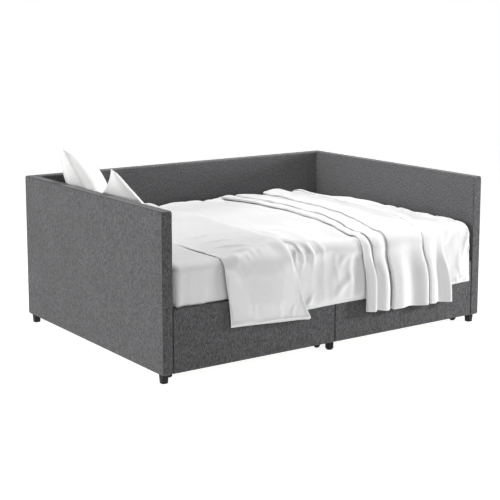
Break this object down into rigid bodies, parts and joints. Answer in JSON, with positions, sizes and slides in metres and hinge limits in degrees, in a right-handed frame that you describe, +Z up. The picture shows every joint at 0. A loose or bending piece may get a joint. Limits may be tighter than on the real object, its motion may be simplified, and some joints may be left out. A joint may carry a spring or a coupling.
{
  "type": "daybed with two under-bed drawers",
  "caption": "Upholstered daybed with square arms and back on short feet, dressed with mattress and bedding, over roll-out drawers on casters.",
  "frame": {"origin": "on the floor, under the middle of the whole object's box", "axes": "+X along the bed to its right arm, -Y out of its open front, +Z up"},
  "size_m": [2.04, 1.49, 0.9896],
  "materials": {
    "board": "raw particle board",
    "grey_linen": "woven linen-look upholstery",
    "wheel_rubber": "matt",
    "black_steel": "powder coated",
    "black_plastic": "satin",
    "slat_wood": "planed pine",
    "mattress_ticking": "knitted",
    "white_sheet": "cotton",
    "white_duvet": "cotton sateen",
    "white_throw": "fine cotton",
    "white_pillow": "cotton",
    "zinc_steel": "zinc plated"
  },
  "bodies": {
    "bed": {"back_core": "board", "back_cover": "grey_linen", "centre_leg_left": "black_steel", "centre_leg_right": "black_steel", "centre_rail": "black_steel", "corner_bolts": "zinc_steel", "duvet": "white_duvet", "duvet_hem_left": "white_duvet", "duvet_hem_right": "white_duvet", "fitted_sheet": "white_sheet", "foot_studs": "zinc_steel", "front_centre_leg": "black_steel", "front_left_foot": "black_plastic", "front_pillow": "white_pillow", "front_rail": "black_steel", "front_right_foot": "black_plastic", "left_arm_core": "board", "left_arm_cover": "grey_linen", "leg_pads": "black_plastic", "mattress": "mattress_ticking", "rail_bolts": "zinc_steel", "rail_brackets": "black_steel", "rear_left_foot": "black_plastic", "rear_pillow": "white_pillow", "rear_rail": "black_steel", "rear_right_foot": "black_plastic", "right_arm_core": "board", "right_arm_cover": "grey_linen", "slat_screws": "zinc_steel", "slats": "slat_wood", "throw": "white_throw", "throw_hem": "white_throw"},
    "left_drawer": {"left_drawer_axles": "zinc_steel", "left_drawer_back_board": "board", "left_drawer_bottom": "board", "left_drawer_caster_forks": "black_steel", "left_drawer_front_board": "board", "left_drawer_front_core": "board", "left_drawer_front_cover": "grey_linen", "left_drawer_left_side": "board", "left_drawer_right_side": "board", "left_drawer_screws": "zinc_steel"},
    "right_drawer": {"right_drawer_axles": "zinc_steel", "right_drawer_back_board": "board", "right_drawer_bottom": "board", "right_drawer_caster_forks": "black_steel", "right_drawer_front_board": "board", "right_drawer_front_core": "board", "right_drawer_front_cover": "grey_linen", "right_drawer_left_side": "board", "right_drawer_right_side": "board", "right_drawer_screws": "zinc_steel"},
    "left_drawer_back_left_wheel": {"left_drawer_back_left_wheel": "wheel_rubber"},
    "left_drawer_back_right_wheel": {"left_drawer_back_right_wheel": "wheel_rubber"},
    "left_drawer_front_left_wheel": {"left_drawer_front_left_wheel": "wheel_rubber"},
    "left_drawer_front_right_wheel": {"left_drawer_front_right_wheel": "wheel_rubber"},
    "right_drawer_back_left_wheel": {"right_drawer_back_left_wheel": "wheel_rubber"},
    "right_drawer_back_right_wheel": {"right_drawer_back_right_wheel": "wheel_rubber"},
    "right_drawer_front_left_wheel": {"right_drawer_front_left_wheel": "wheel_rubber"},
    "right_drawer_front_right_wheel": {"right_drawer_front_right_wheel": "wheel_rubber"}
  },
  "joints": [
    {"name": "left_drawer_slide", "type": "slide", "parent": "bed", "child": "left_drawer", "axis": [0, -1, 0], "range_m": [0, 0.58], "deforming": ["duvet_hem_left"]},
    {"name": "left_drawer_front_left_wheel_spin", "type": "hinge", "parent": "left_drawer", "child": "left_drawer_front_left_wheel", "pos_m": [-0.927, -0.606, 0.024], "axis": [1, 0, 0], "continuous": true},
    {"name": "left_drawer_front_right_wheel_spin", "type": "hinge", "parent": "left_drawer", "child": "left_drawer_front_right_wheel", "pos_m": [-0.037, -0.606, 0.024], "axis": [1, 0, 0], "continuous": true},
    {"name": "left_drawer_back_left_wheel_spin", "type": "hinge", "parent": "left_drawer", "child": "left_drawer_back_left_wheel", "pos_m": [-0.927, -0.157, 0.024], "axis": [1, 0, 0], "continuous": true},
    {"name": "left_drawer_back_right_wheel_spin", "type": "hinge", "parent": "left_drawer", "child": "left_drawer_back_right_wheel", "pos_m": [-0.037, -0.157, 0.024], "axis": [1, 0, 0], "continuous": true},
    {"name": "right_drawer_slide", "type": "slide", "parent": "bed", "child": "right_drawer", "axis": [0, -1, 0], "range_m": [0, 0.58], "deforming": ["duvet_hem_right", "throw_hem"]},
    {"name": "right_drawer_front_left_wheel_spin", "type": "hinge", "parent": "right_drawer", "child": "right_drawer_front_left_wheel", "pos_m": [0.037, -0.606, 0.024], "axis": [1, 0, 0], "continuous": true},
    {"name": "right_drawer_front_right_wheel_spin", "type": "hinge", "parent": "right_drawer", "child": "right_drawer_front_right_wheel", "pos_m": [0.927, -0.606, 0.024], "axis": [1, 0, 0], "continuous": true},
    {"name": "right_drawer_back_left_wheel_spin", "type": "hinge", "parent": "right_drawer", "child": "right_drawer_back_left_wheel", "pos_m": [0.037, -0.157, 0.024], "axis": [1, 0, 0], "continuous": true},
    {"name": "right_drawer_back_right_wheel_spin", "type": "hinge", "parent": "right_drawer", "child": "right_drawer_back_right_wheel", "pos_m": [0.927, -0.157, 0.024], "axis": [1, 0, 0], "continuous": true}
  ],
  "couplings": [
    {"joint": "left_drawer_front_left_wheel_spin", "follows": "left_drawer_slide", "rad_per_m": 41.667},
    {"joint": "left_drawer_front_right_wheel_spin", "follows": "left_drawer_slide", "rad_per_m": 41.667},
    {"joint": "left_drawer_back_left_wheel_spin", "follows": "left_drawer_slide", "rad_per_m": 41.667},
    {"joint": "left_drawer_back_right_wheel_spin", "follows": "left_drawer_slide", "rad_per_m": 41.667},
    {"joint": "right_drawer_front_left_wheel_spin", "follows": "right_drawer_slide", "rad_per_m": 41.667},
    {"joint": "right_drawer_front_right_wheel_spin", "follows": "right_drawer_slide", "rad_per_m": 41.667},
    {"joint": "right_drawer_back_left_wheel_spin", "follows": "right_drawer_slide", "rad_per_m": 41.667},
    {"joint": "right_drawer_back_right_wheel_spin", "follows": "right_drawer_slide", "rad_per_m": 41.667}
  ]
}
